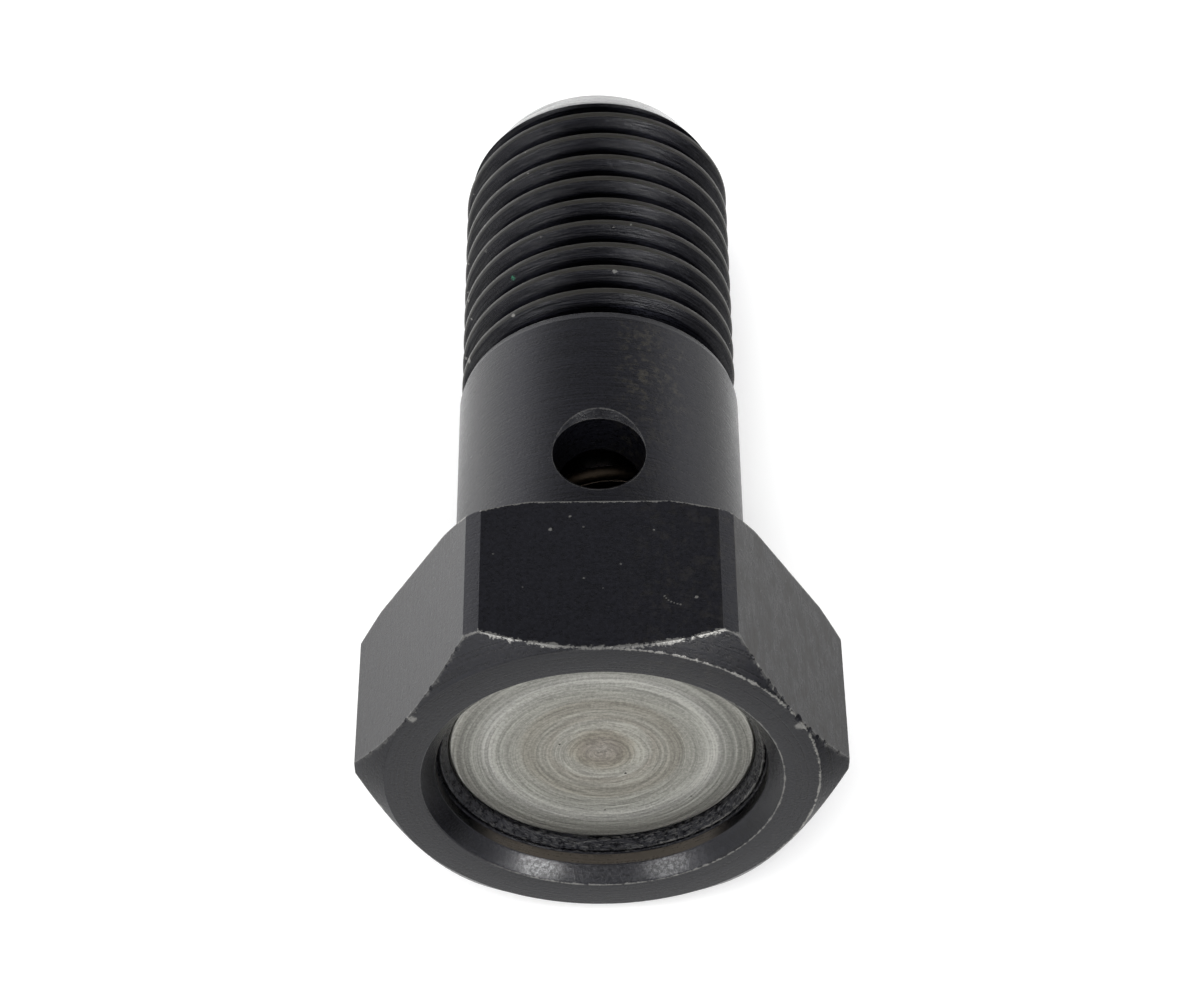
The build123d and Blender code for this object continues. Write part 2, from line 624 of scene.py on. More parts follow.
    def drill(self) -> Object:
        """Makes the cross drill with a countersink at each side.

        Returns:
            The drill.
        """
        hole = self.hole
        out = self.shank.radius + hole.edge_break
        inner = self.shank.radius - hole.edge_break
        wide = hole.radius + 2 * hole.edge_break
        half = [(0.0, -out), (wide, -out), (hole.radius, -inner)]
        points = half + [(radius, -depth) for radius, depth in reversed(half)]
        drill = turned("drill", points, hole.steps)
        across = Matrix.Rotation(pi / 2, 4, "X")
        set_down(drill, Matrix.Translation((0, 0, hole.depth)) @ across)
        with editing(drill):
            bpy.ops.mesh.normals_make_consistent(inside=False)
        return drill

    def chips(self) -> Object:
        """Makes the lumps that chip the front edges of the flats.

        Returns:
            The lumps, joined.
        """
        bpy.ops.object.select_all(action="DESELECT")
        bpy.ops.mesh.primitive_ico_sphere_add(subdivisions=2, radius=1.0, location=(0, 0, 0))
        lump = bpy.context.object
        with editing(lump):
            bpy.ops.transform.vertex_random(offset=0.2, seed=4)
        lumps = []
        chips = [Chip(turn, *bite) for turn, bites in EDGE_CHIPS.items() for bite in bites]
        for number, chip in enumerate(chips):
            copy = lump.copy()
            copy.data = lump.data.copy()
            bpy.context.scene.collection.objects.link(copy)
            turn = Matrix.Rotation(number * 2.4, 4, Vector((1.0, 0.7, 0.4)))
            sized = Matrix.Diagonal((chip.size, chip.size * 0.75, chip.size, 1.0))
            copy.matrix_world = Matrix.Translation(chip.place(self.head)) @ turn @ sized
            lumps.append(copy)
        remove(lump)
        bpy.ops.object.select_all(action="DESELECT")
        for copy in lumps:
            copy.select_set(True)
        bpy.context.view_layer.objects.active = lumps[0]
        bpy.ops.object.transform_apply(location=True, rotation=True, scale=True)
        bpy.ops.object.join()
        return bpy.context.object

    def roughen_lip(self, piece: Object) -> None:
        """Roughens the rolled lip, but for its upper left.

        Args:
            piece: The body.
        """
        lower_right = 2.5

        def on_lip(place: Vector) -> bool:
            """Says if a place is on the rough part of the lip.

            Args:
                place: The place, in the bolt's frame.

            Returns:
                True if it is.
            """
            radius = hypot(place.x, place.y)
            side = cos(atan2(place.x, -place.y) - lower_right)
            return 5.63 < radius < 5.99 and 1.02 < place.z < 1.45 and side > -0.25

        with editing(piece):
            found = select_where(piece, on_lip)
            bpy.ops.transform.vertex_random(offset=self.lip_roughness, seed=7)
        log.info("lip: %d vertices roughened", found)

    def build(self) -> Object:
        """Builds the body.

        Returns:
            The body, laid in the row frame.
        """
        profile = self.outside() + self.inside()
        piece = turned("bolt_body_turned", softened(profile), self.steps)
        for stage, make_tool, operation in (
            ("hexagon", self.hexagon, "INTERSECT"),
            ("thread", self.groove, "DIFFERENCE"),
            ("cross hole", self.drill, "DIFFERENCE"),
            ("chips", self.chips, "DIFFERENCE"),
        ):
            tool = make_tool()
            apply_modifier(piece, "BOOLEAN", operation=operation, object=tool, solver="MANIFOLD")
            remove(tool)
            log.info("body after the %s: %d faces", stage, len(piece.data.polygons))
        self.roughen_lip(piece)
        finish_mesh(piece, 25)
        set_down(piece, self.lay.matrix())
        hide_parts("bolt_body")
        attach(piece, "bolt")
        return piece


@dataclass
class HeadPlug:
    """Bare steel plug staked into the head.

    Attributes:
        lay: Where the bolt lies.
        radius: Radius of the disc.
        face: Depth of its face.
        back: Depth of its back.
        bevel: Bevel at the face.
        nub: Radius of the turning nub at the centre.
        nub_height: How far the nub stands out.
        steps: Steps in a full turn.
    """

    lay: Lay
    radius: float = 5.8
    face: float = 1.51
    back: float = 3.71
    bevel: float = 0.28
    nub: float = 0.25
    nub_height: float = 0.05
    steps: int = 192

    def build(self) -> Object:
        """Builds the plug.

        Returns:
            The plug, laid in the row frame.
        """
        corners = [
            Corner(0.0, self.back),
            Corner(0.0, self.face - self.nub_height),
            Corner(0.12, self.face - self.nub_height * 0.7),
            Corner(self.nub, self.face, 0.03, 6),
            Corner(self.radius - self.bevel, self.face, 0.08),
            Corner(self.radius, self.face + self.bevel, 0.05, 1),
            Corner(self.radius, self.back),
        ]
        piece = turned("head_plug_turned", softened(corners), self.steps)
        finish_mesh(piece, 35)
        set_down(piece, self.lay.matrix())
        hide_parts("head_plug")
        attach(piece, "bolt")
        return piece


@dataclass
class ValveSpring:
    """Compression spring between the plug and the ball, ground flat at both ends.

    Attributes:
        lay: Where the bolt lies.
        start: Depth of the ground end on the plug.
        end: Depth of the ground end on the ball.
        coil: Radius of the coils.
        wire: Radius of the wire.
        closed_pitch: Pitch of the closed turns.
        closed_turns: Closed turns at each end.
        active_turns: Open turns between them.
        first_angle: Where the wire starts, in degrees from the right.
        offset: Depth from a ground end to the middle of the wire there.
        eased: Turns before and after a point that its depth is averaged over.
        per_turn: Points in each turn.
        keep: Share of its length that the spring keeps at full lift of the ball; not used.
    """

    lay: Lay
    start: float = 3.71
    end: float = 16.204
    coil: float = 2.75
    wire: float = 0.3
    closed_pitch: float = 0.68
    closed_turns: float = 1.0
    active_turns: float = 4.0
    first_angle: float = 300.0
    offset: float = 0.15
    eased: tuple = (-0.06, -0.03, 0, 0.03, 0.06)
    per_turn: int = 48
    keep: float = 0.84

    def depth_at(self, turns: float) -> float:
        """Works out how deep the wire is.

        Args:
            turns: Turns from its start.

        Returns:
            The depth of the middle of the wire.
        """
        closed = self.closed_pitch * self.closed_turns
        open_pitch = (self.end - self.start - 2 * self.offset - 2 * closed) / self.active_turns
        first = min(turns, self.closed_turns)
        opened = min(turns - first, self.active_turns)
        last = turns - first - opened
        return self.start + self.offset + (first + last) * self.closed_pitch + opened * open_pitch

    def path(self) -> list[Vector]:
        """Winds the line that the wire follows.

        Returns:
            The points of the line.
        """
        turns = 2 * self.closed_turns + self.active_turns
        points = []
        for step in range(round(turns * self.per_turn) + 1):
            done = step / self.per_turn
            angle = radians(self.first_angle) + tau * done
            depths = [self.depth_at(min(max(done + shift, 0), turns)) for shift in self.eased]
            depth = sum(depths) / len(depths)
            points.append(Vector((self.coil * cos(angle), self.coil * sin(angle), depth)))
        return points

    def build(self) -> Object:
        """Builds the spring.

        Returns:
            The spring, laid in the row frame.
        """
        line = bpy.data.curves.new("spring_wire_line", "CURVE")
        line.dimensions = "3D"
        line.bevel_depth = self.wire
        line.bevel_resolution = 4
        line.use_fill_caps = True
        points = self.path()
        run = line.splines.new("POLY")
        run.points.add(len(points) - 1)
        for place, point in zip(run.points, points):
            place.co = (*point, 1.0)
        wound = bpy.data.objects.new("valve_spring_wound", line)
        bpy.context.scene.collection.objects.link(wound)
        only(wound)
        bpy.ops.object.convert(target="MESH")
        piece = bpy.context.object
        with editing(piece):
            for depth, outward in ((self.start, -1), (self.end, 1)):
                bpy.ops.mesh.select_all(action="SELECT")
                bpy.ops.mesh.bisect(
                    plane_co=(0, 0, depth),
                    plane_no=(0, 0, outward),
                    use_fill=True,
                    clear_outer=True,
                )
        finish_mesh(piece, 40)
        set_down(piece, self.lay.matrix())
        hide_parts("valve_spring")
        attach(piece, "bolt")
        return piece

    def soften_to_joint(self, piece: Object) -> None:
        """Gives the spring a mesh of its own; the anchor at its plug end is worked out but not used.

        Args:
            piece: The spring.
        """
        anchor = self.lay.head + self.lay.along * (self.start * MILLIMETRE)
        tuple(self.lay.along)
        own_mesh(piece)


@dataclass(frozen=True)
class Value:
    """Value that a shader works out, in sums written as for numbers.

    Attributes:
        graph: Graph that the value belongs to.
        socket: Socket that gives it.
    """

    graph: "Graph"
    socket: NodeSocket

    def __add__(self, other: Source) -> "Value":
        """Returns the sum of two values."""
        return self.graph.math("ADD", self, other)

    def __sub__(self, other: Source) -> "Value":
        """Returns this value less another."""
        return self.graph.math("SUBTRACT", self, other)

    def __rsub__(self, other: Source) -> "Value":
        """Returns a number less this value."""
        return self.graph.math("SUBTRACT", other, self)

    def __mul__(self, other: Source) -> "Value":
        """Returns the product of two values."""
        return self.graph.math("MULTIPLY", self, other)

    def __truediv__(self, other: Source) -> "Value":
        """Returns the ratio of two values."""
        return self.graph.math("DIVIDE", self, other)

    def __or__(self, other: Source) -> "Value":
        """Returns the larger of two values."""
        return self.graph.math("MAXIMUM", self, other)

    def __neg__(self) -> "Value":
        """Returns the value with its sign turned."""
        return self * -1.0

    def __abs__(self) -> "Value":
        """Returns the value without its sign."""
        return self.graph.math("ABSOLUTE", self)

    def kept(self) -> "Value":
        """Returns the value kept from 0 to 1."""
        return self.graph.math("ADD", self, 0.0, clamp=True)

    def facing(self, turn: float) -> "Value":
        """Returns 1 where this angle is a given one and -1 opposite it."""
        return self.graph.math("COSINE", self - turn)

    def ramp(self, low: float, high: float, start: float = 0.0, end: float = 1.0) -> "Value":
        """Carries the value smoothly from one range to another, and keeps it there.

        Args:
            low: Value where the result is start.
            high: Value where the result is end.
            start: Result at low and past it.
            end: Result at high and past it.

        Returns:
            The result.
        """
        node = self.graph.add("MapRange", interpolation_type="SMOOTHSTEP")
        for name, value in zip(("Value", "From Min", "From Max"), (self, low, high)):
            self.graph.feed(node.inputs[name], value)
        node.inputs["To Min"].default_value = start
        node.inputs["To Max"].default_value = end
        return Value(self.graph, node.outputs["Result"])


@dataclass(frozen=True)
class Graph:
    """Nodes of one shader tree, added and joined in order.

    Attributes:
        tree: The tree.
    """

    tree: NodeTree

    def add(self, kind: str, **settings: object) -> Node:
        """Adds a node.

        Args:
            kind: Kind of the node.
            **settings: Settings of the node.

        Returns:
            The node.
        """
        node = self.tree.nodes.new("ShaderNode" + kind)
        for name, value in settings.items():
            setattr(node, name, value)
        return node

    def feed(self, socket: NodeSocket, value: Source) -> None:
        """Joins a socket to another one or gives it a constant.

        Args:
            socket: The socket that is fed.
            value: What it gets.
        """
        source = value.socket if isinstance(value, Value) else value
        if isinstance(source, NodeSocket):
            self.tree.links.new(source, socket)
        else:
            socket.default_value = source

    def fed(self, node: Node, *values: Source) -> Node:
        """Feeds the first sockets of a node.

        Args:
            node: The node.
            *values: What its sockets get, in order.

        Returns:
            The node.
        """
        for socket, value in zip(node.inputs, values):
            self.feed(socket, value)
        return node

    def math(self, operation: str, *values: Source, clamp: bool = False) -> Value:
        """Returns the result of a Math node."""
        node = self.add("Math", operation=operation, use_clamp=clamp)
        return Value(self, self.fed(node, *values).outputs[0])

    def vector(self, operation: str, *values: Source) -> NodeSocket:
        """Returns the vector that a Vector Math node works out."""
        return self.fed(self.add("VectorMath", operation=operation), *values).outputs["Vector"]

    def measure(self, operation: str, *values: Source) -> Value:
        """Returns the number that a Vector Math node works out."""
        return Value(self, self.fed(self.add("VectorMath", operation=operation), *values).outputs["Value"])

    def scaled(self, colour: Source, amount: Value) -> NodeSocket:
        """Makes a colour lighter or darker.

        Args:
            colour: The colour.
            amount: What it is multiplied by.

        Returns:
            The new colour.
        """
        node = self.fed(self.add("VectorMath", operation="SCALE"), colour)
        self.feed(node.inputs["Scale"], amount)
        return node.outputs["Vector"]

    def split(self, vector: Source) -> list[Value]:
        """Returns the three parts of a vector."""
        return [Value(self, part) for part in self.fed(self.add("SeparateXYZ"), vector).outputs]

    def combine(self, x: Value, y: Value, z: Value) -> NodeSocket:
        """Returns a vector made of three values."""
        return self.fed(self.add("CombineXYZ"), x, y, z).outputs[0]

    def noise(self, place: Source, scale: float, detail: float, roughness: float) -> Value:
        """Makes noise.

        Args:
            place: Where it is read.
            scale: Waves for each millimetre.
            detail: Finer waves added.
            roughness: Strength of each finer wave.

        Returns:
            Its level.
        """
        node = self.add("TexNoise")
        settings = {"Vector": place, "Scale": scale, "Detail": detail, "Roughness": roughness}
        for name, value in settings.items():
            self.feed(node.inputs[name], value)
        return Value(self, node.outputs["Fac"])

    def mix(self, share: Source, first: Source, second: Source) -> Value:
        """Mixes two values.

        Args:
            share: Share of the second.
            first: First value.
            second: Second value.

        Returns:
            The mixed value.
        """
        node = self.add("Mix", data_type="FLOAT")
        for number, value in ((0, share), (2, first), (3, second)):
            self.feed(node.inputs[number], value)
        return Value(self, node.outputs[0])

    def blend(self, share: Source, first: Source, second: Sequence[float]) -> NodeSocket:
        """Blends a colour into another.

        Args:
            share: Share of the second.
            first: First colour.
            second: Second colour.

        Returns:
            The blended colour.
        """
        node = self.add("Mix", data_type="RGBA")
        for number, value in ((0, share), (6, first), (7, (*second, 1.0))):
            self.feed(node.inputs[number], value)
        return node.outputs[2]

    def mask(self, group: NodeTree, **values: Source) -> Value:
        """Uses a shader node group.

        Args:
            group: The group.
            **values: What its sockets get, by name.

        Returns:
            What the group puts out.
        """
        node = self.add("Group", node_tree=group)
        for name, value in values.items():
            self.feed(node.inputs[name], value)
        return Value(self, node.outputs[0])

    def bump(self, shader: Node, height: Value) -> None:
        """Gives a shader a bump.

        Args:
            shader: The shader.
            height: Height of the bump, in millimetres.
        """
        node = self.add("Bump")
        node.inputs["Distance"].default_value = MILLIMETRE
        node.inputs["Strength"].default_value = 1.0
        self.feed(node.inputs["Height"], height)
        self.feed(shader.inputs["Normal"], node.outputs[0])


VECTOR_SOCKETS = ("Place", "Middle")


def shader_group(
    name: str, inputs: Sequence[str], outputs: Sequence[str]
) -> tuple[Graph, list[Value], Node]:
    """Starts a shader node group.

    Args:
        name: Name of the group.
        inputs: Names of its input sockets.
        outputs: Names of its output sockets.

    Returns:
        Graph of the group, what its input sockets give, and its output node.
    """
    tree = bpy.data.node_groups.new(name, "ShaderNodeTree")
    for side, labels in (("INPUT", inputs), ("OUTPUT", outputs)):
        for label in labels:
            kind = "NodeSocketVector" if label in VECTOR_SOCKETS else "NodeSocketFloat"
            tree.interface.new_socket(label, in_out=side, socket_type=kind)
    graph = Graph(tree)
    entry = tree.nodes.new("NodeGroupInput")
    given = [Value(graph, entry.outputs[number]) for number in range(len(inputs))]
    return graph, given, tree.nodes.new("NodeGroupOutput")


@dataclass
class Effects:
    """Shader node groups that the materials share.

    Attributes:
        lay: Where the bolt lies.
    """

    lay: Lay

    def __post_init__(self) -> None:
        """Makes the groups."""
        self.places = self.make_places()
        self.edge = self.make_edge()
        self.marks = self.make_marks()
        self.specks = self.make_specks()
        self.spot = self.make_spot()

    def make_places(self) -> NodeTree:
        """Makes the group that gives a point's place on the bolt in millimetres.

        Returns:
            The group.
        """
        graph, _, leave = shader_group("Bolt places", (), ("Place", "Depth", "Radius", "Angle"))
        mapping = graph.add("Mapping", vector_type="TEXTURE")
        graph.feed(mapping.inputs["Vector"], graph.add("TexCoord").outputs["Object"])
        matrix = self.lay.matrix()
        mapping.inputs["Location"].default_value = matrix.to_translation()
        mapping.inputs["Rotation"].default_value = matrix.to_euler()
        mapping.inputs["Scale"].default_value = (MILLIMETRE, MILLIMETRE, MILLIMETRE)
        place = Value(graph, mapping.outputs[0])
        x, y, z = graph.split(place)
        radius = graph.math("SQRT", x * x + y * y)
        graph.fed(leave, place, z, radius, graph.math("ARCTAN2", x, -y))
        return graph.tree

    def make_edge(self) -> NodeTree:
        """Makes the group that is 1 where two distances are both 0, broken up by noise.

        Returns:
            The group.
        """
        names = ("First", "Second", "Width", "Breaks", "Place")
        graph, given, leave = shader_group("Edge wear", names, ("Mask",))
        first, second, width, breaks, place = given
        away = graph.math("SQRT", first * first + second * second)
        level = graph.noise(place, 3.1, 3.0, 0.65) * 0.6 + graph.noise(place, 11.0, 2.0, 0.6) * 0.4
        reach = width * ((level - 0.5) * (breaks * 6.0) + 1.0)
        graph.fed(leave, ((reach - away) / (width * 0.7)).kept())
        return graph.tree

    def make_marks(self) -> NodeTree:
        """Makes the group of fine marks that turning leaves round the axis.

        Returns:
            The group.
        """
        names = ("Depth", "Radius", "Angle", "Fineness", "Length", "Lead")
        graph, given, leave = shader_group("Turning marks", names, ("Level",))
        depth, radius, angle, fineness, length, lead = given
        along = (depth - angle * lead * (1 / tau)) * fineness
        upward = graph.math("COSINE", angle) * (length * 2.0)
        sideways = graph.math("SINE", angle) * (length * 2.0)
        place = graph.combine(along, radius * fineness + upward * 1.7, sideways)
        graph.fed(leave, graph.noise(place, 1.0, 3.0, 0.6))
        return graph.tree

    def make_specks(self) -> NodeTree:
        """Makes the group of small scattered specks.

        Returns:
            The group.
        """
        names = ("Place", "Scale", "Size", "Share")
        graph, (place, scale, size, share), leave = shader_group("Specks", names, ("Mask",))
        warp = graph.add("TexNoise")
        graph.feed(warp.inputs["Vector"], place)
        graph.feed(warp.inputs["Scale"], 9.0)
        bent = graph.vector("MULTIPLY_ADD", warp.outputs["Color"], (0.12, 0.12, 0.12), place)
        cells = graph.add("TexVoronoi", feature="F1")
        graph.feed(cells.inputs["Vector"], bent)
        graph.feed(cells.inputs["Scale"], scale)
        draws = graph.fed(graph.add("SeparateColor"), cells.outputs["Color"]).outputs
        picked = graph.math("LESS_THAN", draws[0], share)
        grown = size * (Value(graph, draws[1]) + 0.4)
        soft = ((grown - cells.outputs["Distance"]) / (grown * 0.4)).kept()
        graph.fed(leave, soft * picked)
        return graph.tree

    def make_spot(self) -> NodeTree:
        """Makes the group of one ragged spot.

        Returns:
            The group.
        """
        names = ("Place", "Middle", "Size")
        graph, (place, middle, size), leave = shader_group("Spot", names, ("Mask",))
        reach = size * (graph.noise(place, 7.0, 3.0, 0.7) * 1.6 + 0.2)
        inside = reach - graph.measure("DISTANCE", place, middle)
        graph.fed(leave, (inside / (size * 0.5)).kept())
        return graph.tree


@dataclass(frozen=True)
class Finish:
    """Finish of a piece of steel.

    Attributes:
        colour: Base colour, linear.
        roughness: Roughness of its surface.
        metallic: 1 for bare metal, 0 for a coated surface.
        ior: Index of refraction of a coated surface.
    """

    colour: tuple[float, float, float]
    roughness: float
    metallic: float = 0.0
    ior: float = 1.5


BLACK_OXIDE = Finish((0.0037, 0.0038, 0.0054), 0.30, 0.0, 1.4)
WORN_STEEL = Finish((0.315, 0.310, 0.288), 0.45, 1.0)
BARE_END = Finish((0.15, 0.15, 0.147), 0.40, 1.0)
OLIVE_STAIN = Finish((0.050, 0.045, 0.031), 0.5)
DUST = Finish((0.034, 0.030, 0.024), 0.6)
CREST_LAND = Finish((0.017, 0.016, 0.0125), 0.42)
GREEN_PAINT = Finish((0.03, 0.22, 0.12), 0.5)
# Brown of the lower recess wall, painted as its highlight.
BROWN_WALL_HIGHLIGHT = Finish((0.085, 0.074, 0.062), 0.4, 0.6)
PLUG_STEEL = Finish((0.34, 0.325, 0.295), 0.45, 1.0)
PLUG_PIT = Finish((0.03, 0.028, 0.025), 0.5)
WIRE_STEEL = Finish((0.30, 0.23, 0.155), 0.42, 1.0)
BALL_FINISH = Finish((0.20, 0.19, 0.18), 0.32, 1.0)

# Colour of the plug by share of its radius, from its centre to its rim; the tone of the turned rings,
# partly painted light: lighter rings stand in for how the rings catch the light, and the stops grow
# lighter towards the rim against the recess's shade
PLUG_BANDS_WITH_PAINTED_LIGHT = (
    (0.00, (0.295, 0.277, 0.245)),
    (0.05, (0.262, 0.242, 0.212)),
    (0.12, (0.222, 0.204, 0.174)),
    (0.155, (0.245, 0.228, 0.190)),
    (0.20, (0.288, 0.274, 0.234)),
    (0.225, (0.312, 0.305, 0.269)),
    (0.295, (0.318, 0.312, 0.279)),
    (0.325, (0.275, 0.262, 0.228)),
    (0.39, (0.283, 0.276, 0.243)),
    (0.43, (0.255, 0.246, 0.213)),
    (0.50, (0.250, 0.240, 0.207)),
    (0.535, (0.276, 0.272, 0.242)),
    (0.60, (0.290, 0.288, 0.258)),
    (0.645, (0.294, 0.293, 0.265)),
    (0.68, (0.345, 0.343, 0.314)),
    (0.71, (0.385, 0.382, 0.352)),
    (0.74, (0.345, 0.342, 0.318)),
    (0.775, (0.262, 0.260, 0.238)),
    (0.81, (0.256, 0.256, 0.232)),
    (0.845, (0.275, 0.273, 0.247)),
    (0.88, (0.236, 0.234, 0.211)),
    (0.92, (0.262, 0.258, 0.232)),
    (0.95, (0.350, 0.345, 0.315)),
)

# Nicks in the black: place on the bolt, size, and share of the black that is gone
TOP_FLAT = -7.94
NICKS = (
    (-1.75, TOP_FLAT, 5.33, 0.075, 0.50),
    (1.91, TOP_FLAT, 5.27, 0.060, 0.35),
    (-0.58, TOP_FLAT, 5.44, 0.045, 0.15),
    (0.72, TOP_FLAT, 3.72, 0.045, 0.18),
    (-0.57, TOP_FLAT, 3.10, 0.060, 0.25),
    (0.09, TOP_FLAT, 2.64, 0.045, 0.12),
    (2.22, TOP_FLAT, 2.26, 0.050, 0.22),
    (2.28, TOP_FLAT, 2.17, 0.045, 0.22),
    (2.36, TOP_FLAT, 2.08, 0.045, 0.22),
    (2.45, TOP_FLAT, 2.01, 0.045, 0.22),
    (2.55, TOP_FLAT, 1.96, 0.045, 0.22),
    (2.66, TOP_FLAT, 1.92, 0.045, 0.22),
    (2.77, TOP_FLAT, 1.88, 0.045, 0.22),
    (3.34, TOP_FLAT, 2.21, 0.070, 0.50),
    (-3.76, TOP_FLAT, 4.23, 0.040, 0.15),
    (-2.71, TOP_FLAT, 2.72, 0.040, 0.12),
    (-0.88, -5.13, 25.46, 0.060, 0.50),
    (1.40, -5.01, 24.45, 0.050, 0.50),
    (1.34, -5.02, 22.83, 0.060, 0.30),
    (-1.25, -5.05, 25.72, 0.070, 0.50),
    (-1.69, -4.92, 26.10, 0.060, 0.50),
    (-6.67, -3.98, 0.0, 0.20, 0.45),
    (7.01, -3.36, 0.0, 0.22, 0.45),
)
GREEN_FLECK = ((-3.33, -3.99, 21.85), 0.14)


@dataclass
class Surface:
    """Surface of a piece in one material, with the shared effects at hand.

    Attributes:
        graph: Nodes of the material.
        effects: Shader node groups that it uses.
    """

    graph: Graph
    effects: Effects

    def __post_init__(self) -> None:
        """Adds the node that gives the place, depth, radius and angle of each point."""
        node = self.graph.add("Group", node_tree=self.effects.places)
        found = [Value(self.graph, node.outputs[number]) for number in range(4)]
        self.place, self.depth, self.radius, self.angle = found

    def edge(self, first: Value, second: Value, width: float, breaks: float) -> Value:
        """Works out the wear of an edge.

        Args:
            first: Distance from one face of the edge.
            second: Distance from the other.
            width: Width of the wear.
            breaks: How much noise breaks it up.

        Returns:
            1 where the edge is worn.
        """
        settings = {"First": first, "Second": second, "Width": width, "Breaks": breaks}
        return self.graph.mask(self.effects.edge, Place=self.place, **settings)

    def ring(self, radius: float, depth: float, width: float, breaks: float) -> Value:
        """Returns the wear of a turned edge at a radius and a depth."""
        return self.edge(self.radius - radius, self.depth - depth, width, breaks)

    def marks(self, fineness: float, length: float, lead: Source = 0.0) -> Value:
        """Works out marks round the axis.

        Args:
            fineness: Marks for each millimetre.
            length: How quickly they change along their length.
            lead: How far they run along the axis in a turn.

        Returns:
            Their level.
        """
        where = {"Depth": self.depth, "Radius": self.radius, "Angle": self.angle}
        settings = {"Fineness": fineness, "Length": length, "Lead": lead}
        return self.graph.mask(self.effects.marks, **where, **settings)

    def specks(self, scale: float, size: float, share: float) -> Value:
        """Returns scattered specks of a size, in a share of the cells."""
        settings = {"Scale": scale, "Size": size, "Share": share}
        return self.graph.mask(self.effects.specks, Place=self.place, **settings)

    def spot(self, middle: Sequence[float], size: float) -> Value:
        """Returns one ragged spot."""
        return self.graph.mask(self.effects.spot, Place=self.place, Middle=middle, Size=size)

    def noise(self, scale: float, detail: float, roughness: float) -> Value:
        """Returns noise that is the same in all directions."""
        return self.graph.noise(self.place, scale, detail, roughness)

    def drawn_out(self, scales: Sequence[float], detail: float, roughness: float) -> Value:
        """Returns noise with a scale for each direction."""
        return self.graph.noise(self.graph.vector("MULTIPLY", self.place, scales), 1.0, detail, roughness)


